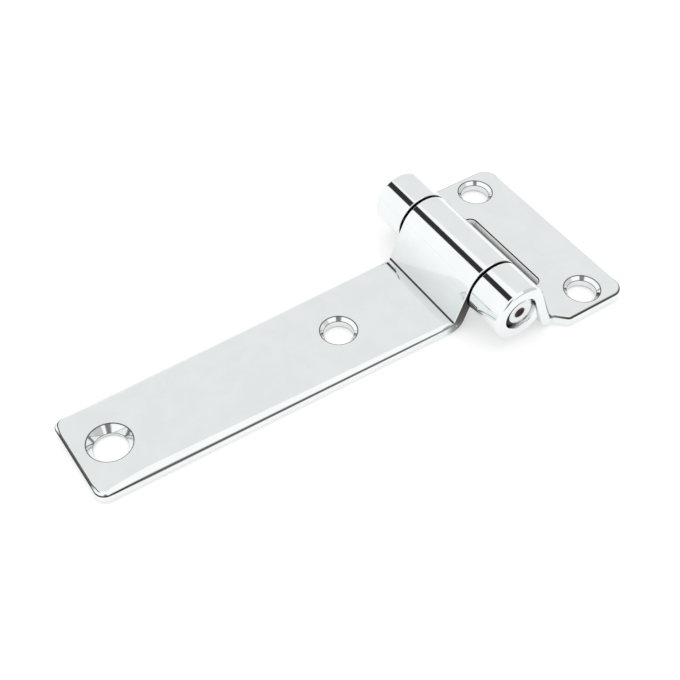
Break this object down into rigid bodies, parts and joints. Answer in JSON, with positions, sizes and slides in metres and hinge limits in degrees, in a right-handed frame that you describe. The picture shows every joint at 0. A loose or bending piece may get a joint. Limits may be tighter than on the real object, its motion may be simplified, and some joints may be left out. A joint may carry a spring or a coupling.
{
  "type": "t hinge",
  "caption": "Polished T hinge: a long tapered strap leaf and a wide slotted plate leaf, both rolled around a solid pin, with countersunk screw holes.",
  "frame": {"origin": "midway between the two screw holes of the tee leaf, on the mounting surface", "axes": "+X from the free end of the strap towards the tee leaf, +Y along the pin, +Z away from the mounting surface"},
  "size_m": [0.1487, 0.0604, 0.0192],
  "materials": {
    "leaf_steel": "mirror polished steel sheet with softly rounded edges",
    "pin_steel": "polished bar with turned, rounded ends"
  },
  "bodies": {
    "tee": {"tee_leaf": "leaf_steel", "hinge_pin": "pin_steel"},
    "strap": {"strap_leaf": "leaf_steel"}
  },
  "joints": [
    {"name": "strap_swing", "type": "hinge", "parent": "tee", "child": "strap", "pos_m": [-0.0252, 0, 0.0112], "axis": [0, 1, 0], "range_deg": [-105, 200]}
  ]
}
